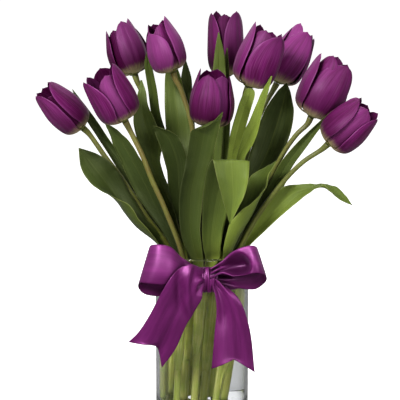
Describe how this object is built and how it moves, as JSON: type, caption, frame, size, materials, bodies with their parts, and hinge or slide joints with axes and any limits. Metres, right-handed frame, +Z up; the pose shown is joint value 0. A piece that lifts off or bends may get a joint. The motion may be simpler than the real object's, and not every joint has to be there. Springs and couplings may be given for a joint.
{
  "type": "tulips in vase",
  "caption": "Purple tulips with their leaves standing in a straight clear glass vase of water, tied round with a wide satin ribbon bow.",
  "frame": {"origin": "middle of the vase's flat base, on the surface it stands on", "axes": "+Z up along the vase, -Y towards the front where the bow is tied, +X to the right seen from the front"},
  "size_m": [0.3416, 0.1906, 0.3999],
  "materials": {
    "glass": "clear",
    "water": "clear water",
    "leaf": "waxy green plant matter",
    "petal": "soft satin petals",
    "ribbon": "satin ribbon"
  },
  "bodies": {
    "root": {"vase": "glass", "water": "water", "stem_a": "leaf", "stem_b": "leaf", "stem_c": "leaf", "stem_d": "leaf", "stem_e": "leaf", "stem_f": "leaf", "stem_g": "leaf", "stem_h": "leaf", "stem_i": "leaf", "stem_j": "leaf", "bloom_a": "petal", "bloom_b": "petal", "bloom_c": "petal", "bloom_d": "petal", "bloom_e": "petal", "bloom_f": "petal", "bloom_g": "petal", "bloom_h": "petal", "bloom_i": "petal", "bloom_j": "petal", "ribbon": "ribbon"}
  },
  "joints": []
}
